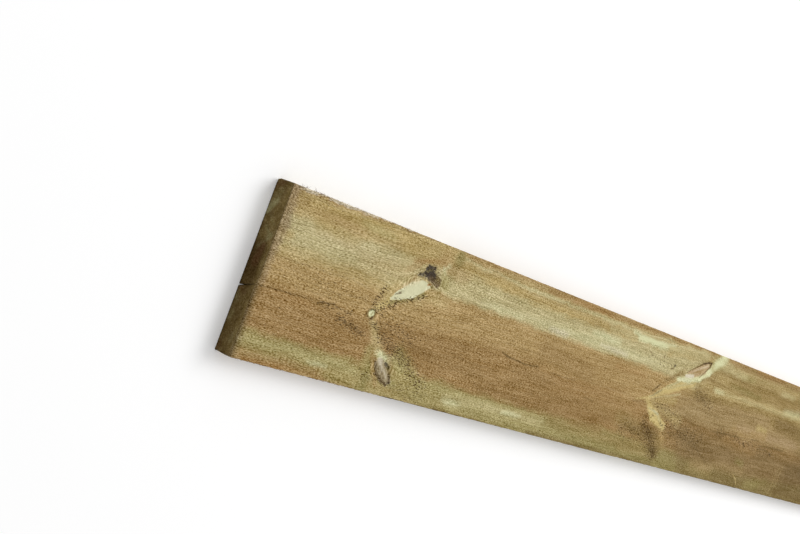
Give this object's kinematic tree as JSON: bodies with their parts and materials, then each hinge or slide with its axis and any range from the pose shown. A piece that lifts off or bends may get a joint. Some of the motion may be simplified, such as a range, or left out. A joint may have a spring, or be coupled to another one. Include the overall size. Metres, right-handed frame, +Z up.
{
  "type": "sawn softwood board",
  "caption": "Long flat rough-sawn softwood board, pressure treated, with branch knots on its broad face and a drying split at the end.",
  "frame": {"origin": "centre of the underside, on the level floor that the board lies on", "axes": "+X along the board's length, away from the end that has the drying split; +Y across its width; +Z up, out of the broad face nearest the pith"},
  "size_m": [1.8, 0.15, 0.022],
  "materials": {
    "treated_softwood": "rough sawn, matt, brown heartwood with green-tinted treated sapwood"
  },
  "bodies": {
    "root": {"board": "treated_softwood"}
  },
  "joints": []
}
